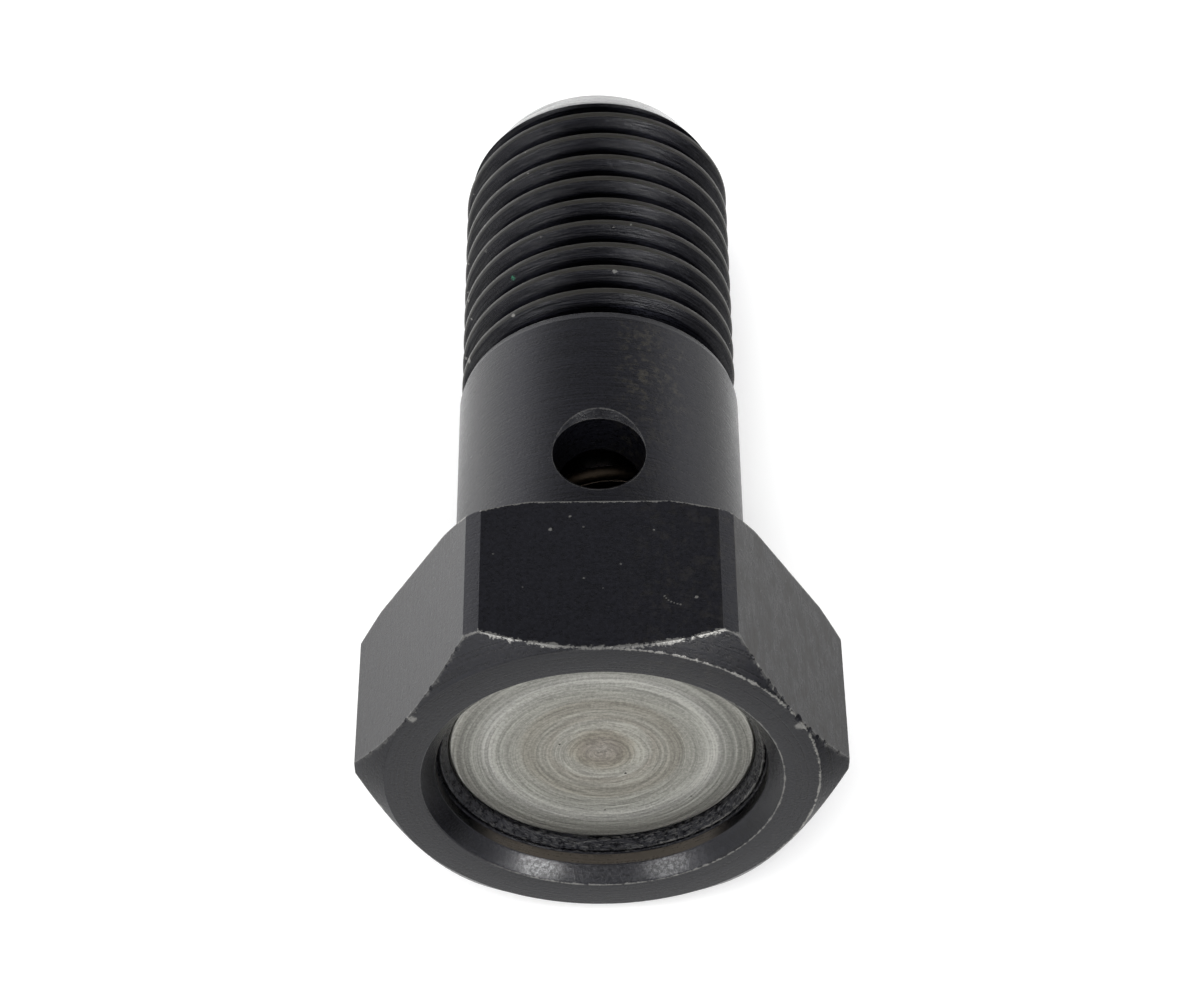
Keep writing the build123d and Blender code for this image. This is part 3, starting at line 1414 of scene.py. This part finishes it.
@dataclass
class BlackSteel(Surface):
    """Blackened steel of the body, worn at its edges.

    Attributes:
        body: The body, for its sizes.
    """

    body: BoltBody

    def __post_init__(self) -> None:
        """Works out the distances, regions and marks that the layers share."""
        super().__post_init__()
        graph, head, recess = self.graph, self.body.head, self.body.recess
        depth, radius, angle = self.depth, self.radius, self.angle
        self.x, y, _ = graph.split(self.place)
        self.height = abs(y)
        self.aside = abs(angle)
        self.below = -angle.facing(0.0)

        normals = [(cos(radians(turn)), sin(radians(turn)), 0.0) for turn in (30, 90, 150)]
        across = [abs(graph.measure("DOT_PRODUCT", self.place, normal)) for normal in normals]
        self.to_flat = head.flat - reduce(or_, across)
        self.to_face = depth - (radius - head.face_circle) * head.face_slope()
        past_back = (radius - head.bearing_circle) | 0.0
        self.to_back = head.height - depth - past_back * head.bearing_slope()
        self.to_corner = head.corner - radius

        self.on_flat = self.to_flat.ramp(0.02, 0.008) * depth.ramp(6.66, 6.64)
        self.right_face = self.on_flat * self.x.ramp(4.0, 4.4)
        self.on_thread = depth.ramp(18.6, 18.9)
        self.land = radius.ramp(5.41, 5.47) * self.on_thread
        self.flank = (self.on_thread - self.land).kept()
        self.in_mouth = radius.ramp(6.05, 6.09) * radius.ramp(6.58, 6.55) * depth.ramp(0.7, 0.6)
        wall = abs(radius - recess.wall).ramp(0.03, 0.015)
        self.whole_wall = wall * depth.ramp(0.55, 0.62) * depth.ramp(1.02, 0.97)
        # Painted highlight: only the lower side of the recess wall gets the brown; its upper side is
        # painted dark as shade.
        self.wall = self.whole_wall * self.below.ramp(0.55, 0.90)
        self.on_lip = radius.ramp(6.03, 5.99) * depth.ramp(0.98, 1.02) * depth.ramp(1.8, 1.7)
        self.lip_side = angle.facing(2.4).ramp(-0.5, 0.5, 0.15, 1.0)

        turning = self.marks(14.0, 1.2, self.on_thread * self.body.thread.pitch)
        brushed = self.drawn_out((6.0, 6.0, 0.9), 3.0, 0.65) - 0.5
        brushing = brushed * self.aside.ramp(0.56, 0.66, 0.25, 0.9) + 0.5
        self.level = graph.mix(self.on_flat, turning, brushing)
        self.grain = self.noise(8.0, 4.0, 0.72)
        self.wavy = self.level * 0.5 + self.grain * 0.5
        self.rolled = self.marks(16.0, 11.0)
        self.mottle = self.drawn_out((1.8, 1.8, 0.9), 4.0, 0.75)

    def hole_edges(self) -> list[Value]:
        """Works out the wear at the cross hole.

        Returns:
            Wear of the countersink's two edges.
        """
        hole, shank = self.body.hole, self.body.shank
        flattened = self.graph.vector("MULTIPLY", self.place, (1, 0, 1))
        off_hole = self.graph.vector("SUBTRACT", flattened, (0, 0, hole.depth))
        across = self.graph.measure("LENGTH", off_hole)
        sunk = self.height - (shank.radius - hole.edge_break)
        rim = self.edge(across - (sunk + hole.radius), self.radius - shank.radius, 0.03, 1.0)
        drilled = self.edge(across - hole.radius, sunk, 0.03, 0.6)
        return [rim * 0.12, drilled * 0.08]

    def crest_edges(self) -> list[Value]:
        """Works out the wear of the thread's crests.

        Returns:
            Wear of the far edge of the crests, and dings near them.
        """
        thread = self.body.thread
        turned_by = self.angle * (thread.pitch / tau)
        phase = self.graph.math("FRACT", (self.depth - thread.first_groove - turned_by) / thread.pitch)
        far_edge = abs(phase - 0.572).ramp(0.045, 0.012)
        broken = self.noise(4.0, 3.0, 0.6).ramp(0.35, 0.7, 0.25, 1.0)
        crests = self.land * far_edge * broken * self.aside.ramp(0.2, 1.1, 0.10, 0.50)
        dings = self.specks(1.7, 0.17, 0.5) * (self.radius.ramp(5.30, 5.40) * self.on_thread)
        return [crests, dings * 0.6]

    def wear(self) -> Value:
        """Works out where the black is worn off.

        Returns:
            Share of the black that is gone.
        """
        angle = self.angle
        side_arcs = self.aside.ramp(0.45, 0.60, 1.0, 0.12)
        thick_ends = self.aside.ramp(0.10, 0.42, 0.35, 1.0)
        outer_right = angle.facing(1.15).ramp(0.2, 0.75, 0.0, 0.75)
        lip_right = angle.facing(1.9).ramp(0.3, 0.9, 0.0, 0.32)
        mouth_side = angle.facing(2.2).ramp(-0.35, 0.5)
        shank = self.body.shank
        layers = [
            self.edge(self.to_flat, self.to_face, 0.078, 1.25) * (side_arcs * thick_ends),
            self.edge(self.to_corner, self.to_face, 0.055, 1.1) * (side_arcs * 0.6),
            self.edge(self.to_flat, self.to_back, 0.055, 1.0) * 0.85,
            self.ring(self.body.head.face_circle, 0.0, 0.05, 1.5) * outer_right,
            self.ring(self.body.recess.mouth, 0.0, 0.035, 1.1) * (mouth_side * 0.38),
            self.ring(5.87, 1.07, 0.06, 1.2) * lip_right,
            self.ring(shank.shoulder, shank.end, 0.05, 0.8) * 0.25,
            *self.hole_edges(),
            *self.crest_edges(),
            self.edge(self.to_flat, self.to_face, 0.12, 0.4) * (self.specks(2.2, 0.24, 0.4) * 0.8),
            self.specks(0.9, 0.045, 0.12) * 0.4,
            *(self.spot(place, size) * gone for *place, size, gone in NICKS),
            self.on_lip * (self.rolled.ramp(0.50, 0.66) * self.lip_side) * 0.13,
        ]
        return reduce(or_, layers)

    def bare_end(self) -> Value:
        """Works out where the thread's end face and the end of its chamfer are bare.

        Returns:
            1 where the steel is bare.
        """
        thread = self.body.thread
        slope = (thread.crest - thread.end_circle) / (thread.end - thread.chamfer_start)
        on_cone = (thread.end - self.depth) * slope + thread.end_circle
        cone = abs(self.radius - on_cone).ramp(0.03, 0.01) * self.depth.ramp(30.9, 31.1)
        return cone | self.depth.ramp(31.98, 32.0)

    def grime_and_painted_shade(self) -> Value:
        """Works out where the shine is taken off: streaks and blotches of grime, and painted shade in the
        thread roots, on the mouth's left side, on the upper recess wall and in the lip groove.

        Returns:
            1 where nothing shines.
        """
        streaks = self.marks(30.0, 3.0, self.body.thread.pitch).ramp(0.40, 0.60, 0.60, 0.02)
        # Painted shade: the thread roots, the mouth's left side, the upper recess wall and the lip groove
        # are made black where shade falls; the streaks and blotches are grime.
        root = self.radius.ramp(5.18, 5.01, 0.0, 0.95)
        mouth_left_shade = self.angle.facing(-1.75).ramp(0.86, 0.985)
        upper_wall_shade = (self.whole_wall - self.wall).kept()
        lip_groove_shade = abs(self.radius - 5.985).ramp(0.075, 0.045)
        blotches = self.noise(5.0, 3.0, 0.75).ramp(0.50, 0.60, 0.0, 0.85)
        thread = self.flank * streaks | self.flank * root
        return thread | self.in_mouth * mouth_left_shade | upper_wall_shade | self.on_lip * (lip_groove_shade | blotches)

    def colour(self, worn: Value, bare: Value, green: Value) -> NodeSocket:
        """Lays the colours over one another.

        Args:
            worn: Share of the black that is gone.
            bare: 1 where the end is bare.
            green: 1 on the fleck of green paint.

        Returns:
            The base colour.
        """
        stain_side = abs(self.angle - 0.40).ramp(0.36, 0.12)
        stain_run = self.depth.ramp(11.5, 15.0, 0.25, 1.0) * self.depth.ramp(18.3, 17.6)
        stain = stain_side * stain_run * self.noise(2.6, 4.0, 0.75).ramp(0.47, 0.66)
        dusty = self.on_flat * self.aside.ramp(0.56, 0.66) * self.wavy.ramp(0.46, 0.66)
        colour = self.graph.scaled(BLACK_OXIDE.colour, self.wavy.ramp(0.3, 0.7, 0.2, 1.9))
        for share, finish in (
            (stain * 0.42, OLIVE_STAIN),
            (dusty * self.x.ramp(-7.0, 7.0, 0.38, 0.45), DUST),
            (self.right_face * self.mottle.ramp(0.42, 0.70, 0.0, 0.26), OLIVE_STAIN),
            (self.land * 0.85, CREST_LAND),
            # Painted highlight on the lower recess wall.
            (self.wall, BROWN_WALL_HIGHLIGHT),
            (worn, WORN_STEEL),
            (bare, BARE_END),
            (green, GREEN_PAINT),
        ):
            colour = self.graph.blend(share, colour, finish.colour)
        return colour

    def roughness(self) -> Value:
        """Works out the roughness.

        Returns:
            The roughness.
        """
        uneven = self.right_face * self.mottle.ramp(0.35, 0.68, -0.06, 0.10)
        plain = self.wavy.ramp(0.3, 0.7, 0.24, 0.37) + uneven
        flank = self.wavy.ramp(0.3, 0.7, 0.12, 0.20)
        rough = self.graph.mix(self.flank, self.graph.mix(self.in_mouth, plain, 0.22), flank)
        return self.graph.mix(self.land, rough, CREST_LAND.roughness)

    def relief(self) -> Value:
        """Works out the fine relief of marks, grain, rolled lip and blasted mouth.

        Returns:
            Height of the relief, in millimetres.
        """
        marks = self.level * self.on_thread.ramp(0.0, 1.0, 0.008, 0.022)
        lip = self.on_lip * self.lip_side * self.rolled * 0.06
        blast = self.noise(15.0, 2.0, 0.7) * (self.in_mouth * 0.008)
        return marks + self.grain * 0.014 + lip + blast

    def dress(self, shader: Node) -> None:
        """Gives the finish to a shader.

        Args:
            shader: The shader.
        """
        worn, bare, green = self.wear(), self.bare_end(), self.spot(*GREEN_FLECK)
        # Metallic also carries the painted highlight of the lower recess wall and the painted shade of the
        # thread roots, mouth, upper wall and lip groove.
        metal = worn | bare | self.wall * BROWN_WALL_HIGHLIGHT.metallic | self.grime_and_painted_shade()
        oily = self.in_mouth * self.below.ramp(0.74, 0.90)
        sparkle = self.noise(8.0, 3.0, 0.8).ramp(0.40, 0.64, 0.25, 1.0)
        self.graph.feed(shader.inputs["Base Color"], self.colour(worn, bare, green))
        self.graph.feed(shader.inputs["Metallic"], (metal - green).kept())
        self.graph.feed(shader.inputs["Roughness"], self.roughness())
        self.graph.feed(shader.inputs["Coat Weight"], oily * sparkle)
        shader.inputs["Coat Roughness"].default_value = 0.2
        self.graph.bump(shader, self.relief())


def new_material(name: str) -> tuple[Material, Graph, Node]:
    """Makes a material with nodes.

    Args:
        name: Name of the material.

    Returns:
        The material, its graph and its shader.
    """
    material = bpy.data.materials.new(name)
    material.use_nodes = True
    tree = material.node_tree
    return material, Graph(tree), tree.nodes["Principled BSDF"]


@dataclass
class Materials:
    """Procedural materials of the bolt.

    Attributes:
        effects: Shader node groups that they share.
        body: The body, for its sizes.
        plug_radius: Radius of the plug.
    """

    effects: Effects
    body: BoltBody
    plug_radius: float = 5.8

    def start(self, name: str, finish: Finish) -> tuple[Material, Graph, Node]:
        """Starts a material with the constants of its finish.

        Args:
            name: Name of the material.
            finish: The finish.

        Returns:
            The material, its graph and its shader.
        """
        material, graph, shader = new_material(name)
        shader.inputs["Base Color"].default_value = (*finish.colour, 1.0)
        shader.inputs["Roughness"].default_value = finish.roughness
        shader.inputs["Metallic"].default_value = finish.metallic
        shader.inputs["IOR"].default_value = finish.ior
        return material, graph, shader

    def black_steel(self) -> Material:
        """Makes the blackened steel of the body.

        Returns:
            The material.
        """
        material, graph, shader = self.start("Blackened steel", BLACK_OXIDE)
        BlackSteel(graph, self.effects, self.body).dress(shader)
        return material

    def plug_steel(self) -> Material:
        """Makes the bare steel of the plug, turned in rings.

        Returns:
            The material.
        """
        material, graph, shader = self.start("Turned bare steel", PLUG_STEEL)
        surface = Surface(graph, self.effects)
        broad = surface.marks(3.0, 0.5)
        wavy = surface.marks(9.0, 0.9) * 0.5 + surface.noise(8.0, 4.0, 0.8) * 0.5
        drift = (broad - 0.5) * 0.5
        # Painted light in part: the lighter rings and the lighter rim stand in for light on the turned
        # face.
        bands = graph.fed(graph.add("ValToRGB"), (surface.radius + drift) / self.plug_radius)
        self.set_bands(bands)
        colour = graph.scaled(bands.outputs[0], wavy.ramp(0.35, 0.65, 0.76, 1.44))
        colour = graph.blend(surface.specks(1.2, 0.065, 0.28), colour, PLUG_PIT.colour)
        graph.feed(shader.inputs["Base Color"], colour)
        graph.feed(shader.inputs["Roughness"], wavy.ramp(0.3, 0.7, 0.52, 0.36))
        graph.bump(shader, broad * 0.05 + wavy * 0.03)
        return material

    def set_bands(self, bands: Node) -> None:
        """Sets the lighter and browner bands of the plug, partly painted light.

        Args:
            bands: Colour ramp node, whose stops are set.
        """
        ramp = bands.color_ramp
        while len(ramp.elements) > 1:
            ramp.elements.remove(ramp.elements[-1])
        for number, (share, colour) in enumerate(PLUG_BANDS_WITH_PAINTED_LIGHT):
            stop = ramp.elements.new(share) if number else ramp.elements[0]
            stop.position = share
            stop.color = (*colour, 1.0)

    def plain_steel(self, name: str, finish: Finish, scale: float) -> Material:
        """Makes a plain steel with a slight change of tone and a fine grain.

        Args:
            name: Name of the material.
            finish: The finish.
            scale: Waves of the change for each millimetre.

        Returns:
            The material.
        """
        material, graph, shader = self.start(name, finish)
        level = Surface(graph, self.effects).noise(scale, 3.0, 0.6)
        tone = graph.scaled(finish.colour, level.ramp(0.3, 0.7, 0.85, 1.15))
        change = level.ramp(0.3, 0.7, finish.roughness * 0.85, finish.roughness * 1.2)
        graph.feed(shader.inputs["Base Color"], tone)
        graph.feed(shader.inputs["Roughness"], change)
        return material

    def dress(self, piece: Object, material: Material) -> None:
        """Gives a piece one material."""
        piece.data.materials.clear()
        piece.data.materials.append(material)


@dataclass(frozen=True)
class Lamp:
    """Square soft lamp that faces the bolt.

    Attributes:
        name: Name of the lamp.
        place: Place of its middle, in metres.
        size: Side of the square, in metres.
        power: Power, in watts.
        seen: False if shiny surfaces don't mirror it.
    """

    name: str
    place: tuple[float, float, float]
    size: float
    power: float
    seen: bool = True

    def build(self) -> None:
        """Adds the lamp."""
        data = bpy.data.lights.new(self.name, "AREA")
        data.shape = "SQUARE"
        data.size = self.size
        data.energy = self.power
        lamp = bpy.data.objects.new(self.name, data)
        bpy.context.scene.collection.objects.link(lamp)
        lamp.location = self.place
        lamp.rotation_euler = (-Vector(self.place)).to_track_quat("-Z", "Y").to_euler()
        lamp.visible_glossy = self.seen


LAMPS = (
    Lamp("Overhead", (-0.05, -0.14, 0.42), 0.40, 2.2, False),
    Lamp("Front", (0.0, -0.25, 0.25), 0.10, 0.02),
    Lamp("Left front", (-0.182, -0.26, 0.185), 0.11, 0.21),
    Lamp("Right front", (0.182, -0.26, 0.185), 0.11, 0.40),
)


@dataclass
class Studio:
    """Pale floor, soft lamps and the camera.

    Attributes:
        lay: Where the bolt lies.
        lens: Focal length for a 36 mm wide picture.
        elevation: Angle of the camera's line of sight to the bolt's end face, in radians.
        roll: Turn of the bolt in the picture, in radians.
        head_place: Place of the head face's centre in the camera's frame, in millimetres.
    """

    lay: Lay
    lens: float = 91.905
    elevation: float = 0.711
    roll: float = -0.009
    head_place: tuple[float, float, float] = (0.0778, 10.244, 110.81)

    def camera(self) -> None:
        """Sets up the camera where the photo was taken from."""
        level = cos(self.elevation)
        along = Vector((sin(self.roll) * level, -cos(self.roll) * level, sin(self.elevation)))
        right = Vector((cos(self.roll), sin(self.roll), 0.0))
        seen = Matrix((right, along, right.cross(along)))
        lay = self.lay
        world = Matrix((lay.along.cross(lay.upward), lay.along, lay.upward))
        turn = world.transposed() @ seen
        axes = [turn @ Vector(axis) for axis in ((1, 0, 0), (0, -1, 0), (0, 0, -1))]
        matrix = Matrix(axes).transposed().to_4x4()
        matrix.translation = lay.head - turn @ (Vector(self.head_place) * MILLIMETRE)
        data = bpy.data.cameras.new("Camera")
        data.lens = self.lens
        data.sensor_width = 36.0
        data.clip_start = 0.005
        camera = bpy.data.objects.new("Camera", data)
        bpy.context.scene.collection.objects.link(camera)
        camera.matrix_world = matrix
        bpy.context.scene.camera = camera

    def painted_reflection(self, x: Value, y: Value) -> Value:
        """Works out a painted reflection: the lightness that only shiny steel sees on the floor, set place
        by place, with darker patches that stand in for shade.

        Args:
            x: Place on the floor to the right, in metres.
            y: Place on the floor to the rear, in metres.

        Returns:
            Lightness of the floor.
        """
        leftward, forward = -x, -y
        fade = forward.ramp(0.012, 0.03) * x.ramp(0.007, 0.017, 0.0, 0.6)
        across = x.ramp(-0.016, -0.009, 0.82, 0.76) + x.ramp(0.009, 0.016, 0.0, -0.18)
        across = (across + leftward.ramp(0.020, 0.030, 0.0, 0.25)) * forward.ramp(0.017, 0.026, 1.08, 0.87)
        near_left = leftward.ramp(0.009, 0.014) * leftward.ramp(0.030, 0.022)
        dim = (near_left + x.ramp(0.009, 0.014)) * forward.ramp(-0.006, 0.020, 0.0, 0.42)
        return across * (1.0 - fade) * (1.0 - dim)

    def floor(self) -> None:
        """Adds the pale floor, white to the camera; in shiny steel it shows a painted reflection and a
        painted glow behind and beside the bolt.
        """
        bpy.ops.object.select_all(action="DESELECT")
        bpy.ops.mesh.primitive_plane_add(size=4.0, location=(0, 0, 0))
        floor = bpy.context.object
        floor.name = "Floor"
        material, graph, shader = new_material("Pale floor")
        path = graph.add("LightPath")
        mirroring = Value(graph, path.outputs["Is Glossy Ray"])
        x, y, _ = graph.split(graph.add("TexCoord").outputs["Object"])
        # Painted reflection: the floor's colour changes place by place for glossy rays only.
        shade = graph.mix(mirroring, 0.9, self.painted_reflection(x, y))
        # Painted light: a glow behind and beside the bolt that only glossy rays see; the camera's 0.20 is
        # the even white of the floor.
        painted_glow_beside = abs(x).ramp(0.015, 0.010, 0.0, 0.40) + x.ramp(-0.01, 0.01, 0.22, 0.08)
        lit = Value(graph, path.outputs["Is Camera Ray"]) * 0.20
        glow = painted_glow_beside * y.ramp(0.001, 0.011) * mirroring + lit
        graph.feed(shader.inputs["Base Color"], graph.combine(shade, shade, shade * 0.985))
        graph.feed(shader.inputs["Emission Color"], graph.combine(glow, glow, glow))
        shader.inputs["Emission Strength"].default_value = 1.0
        shader.inputs["Roughness"].default_value = 0.9
        shader.inputs["Specular IOR Level"].default_value = 0.1
        floor.data.materials.append(material)

    def world(self) -> None:
        """Sets soft light all round, pale near the horizon and dim overhead."""
        world = bpy.data.worlds.new("Studio")
        bpy.context.scene.world = world
        world.use_nodes = True
        graph = Graph(world.node_tree)
        background = world.node_tree.nodes["Background"]
        x, y, z = graph.split(graph.add("TexCoord").outputs["Generated"])
        overall = z.ramp(0.18, 0.62, 0.61, 0.43) - z.ramp(0.68, 0.705, 0.0, 0.35)
        sides = (-x).ramp(0.3, 0.7, 0.0, 1.20) + x.ramp(0.3, 0.7, 0.0, 0.60)
        sides = sides * z.ramp(0.2, 0.6, 1.0, 0.0) * y.ramp(-0.5, -0.1, 0.3, 1.0)
        front = (-y).ramp(0.5, 0.95, 0.0, 0.38) * z.ramp(0.34, 0.48, 1.0, 0.0)
        graph.feed(background.inputs["Strength"], overall + (sides + front))
        background.inputs["Color"].default_value = (0.96, 0.96, 1.03, 1.0)

    def build(self) -> None:
        """Sets up the whole studio."""
        bpy.context.scene.view_settings.view_transform = "Standard"
        self.camera()
        self.floor()
        self.world()
        for lamp in LAMPS:
            lamp.build()


def main() -> None:
    """Builds and dresses each piece in order, then the studio."""
    logging.basicConfig(level=logging.INFO, format="%(name)s: %(message)s")
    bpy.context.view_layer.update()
    lay = Lay.from_frame()
    turning = BoltBody(lay)
    materials = Materials(Effects(lay), turning)

    body = turning.build()
    materials.dress(body, materials.black_steel())
    log.info("bolt body: %d faces", len(body.data.polygons))

    plug = HeadPlug(lay).build()
    materials.dress(plug, materials.plug_steel())
    log.info("head plug: %d faces", len(plug.data.polygons))

    winding = ValveSpring(lay)
    spring = winding.build()
    materials.dress(spring, materials.plain_steel("Spring wire", WIRE_STEEL, 6.0))
    winding.soften_to_joint(spring)
    log.info("valve spring: %d faces", len(spring.data.polygons))

    ball = frame["nodes"]["valve_ball"]
    materials.dress(ball, materials.plain_steel("Ball steel", BALL_FINISH, 3.0))
    log.info("valve ball: dressed")

    for name in ("bolt_body", "head_plug", "valve_spring"):
        node = frame["nodes"][name]
        materials.dress(node, materials.plain_steel(f"{name} steel", PLUG_STEEL, 3.0))

    Studio(lay).build()


if __name__ == "__main__":
    main()
